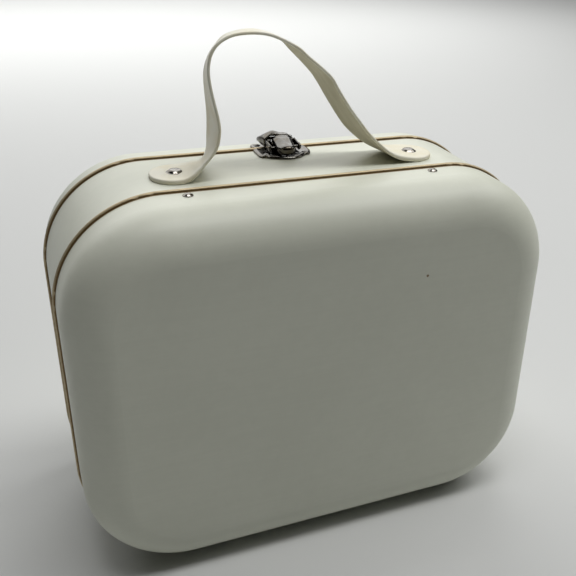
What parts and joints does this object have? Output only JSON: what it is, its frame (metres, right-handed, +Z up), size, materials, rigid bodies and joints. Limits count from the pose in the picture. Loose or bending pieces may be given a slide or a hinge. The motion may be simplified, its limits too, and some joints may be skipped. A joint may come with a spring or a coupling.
{
  "type": "metal storage box",
  "caption": "Flat pressed-steel storage case with rounded corners, curled rims, a soft strap handle, a draw latch over the rear seam and a rear lid hinged along its bottom edge.",
  "frame": {"origin": "middle of the footprint, on the surface that the case stands on", "axes": "+Z up, +X to the right seen from the front, the front face looks towards -Y and the hinged lid is at +Y"},
  "size_m": [0.2424, 0.114, 0.2527],
  "materials": {
    "painted_sheet": "satin off-white paint outside, gold lacquer inside and on the curled rims",
    "strap_leather": "smooth cream strap",
    "rivet_steel": "aged dark steel",
    "latch_nickel": "aged dark nickel"
  },
  "bodies": {
    "case": {"front_shell": "painted_sheet", "body_band": "painted_sheet", "shell_rivets": "rivet_steel", "handle_strap": "strap_leather", "handle_rivets": "rivet_steel", "handle_washers": "rivet_steel", "latch_base_plate": "latch_nickel", "latch_base_rivets": "latch_nickel", "latch_pivot_pin": "latch_nickel", "hinge_left_case_leaf": "latch_nickel", "hinge_right_case_leaf": "latch_nickel", "hinge_left_pin": "latch_nickel", "hinge_right_pin": "latch_nickel", "case_hinge_rivets": "latch_nickel"},
    "lid": {"lid_shell": "painted_sheet", "catch_plate": "latch_nickel", "catch_rivets": "latch_nickel", "hinge_left_lid_leaf": "latch_nickel", "hinge_right_lid_leaf": "latch_nickel", "lid_hinge_rivets": "latch_nickel"},
    "latch_lever": {"latch_lever": "latch_nickel", "latch_hook_pin": "latch_nickel"},
    "draw_hook": {"latch_draw_hook": "latch_nickel"}
  },
  "joints": [
    {"name": "lid_hinge", "type": "hinge", "parent": "case", "child": "lid", "pos_m": [0, 0.0275, 0.0011], "axis": [-1, 0, 0], "range_deg": [0, 105]},
    {"name": "latch_lever_lift", "type": "hinge", "parent": "case", "child": "latch_lever", "pos_m": [0, 0.0239, 0.19125], "axis": [-1, 0, 0], "range_deg": [0, 95]},
    {"name": "draw_hook_swing", "type": "hinge", "parent": "latch_lever", "child": "draw_hook", "pos_m": [0, 0.0189, 0.19095], "axis": [-1, 0, 0], "range_deg": [-95, 0]}
  ],
  "couplings": [
    {"joint": "draw_hook_swing", "follows": "latch_lever_lift", "ratio": -1}
  ]
}
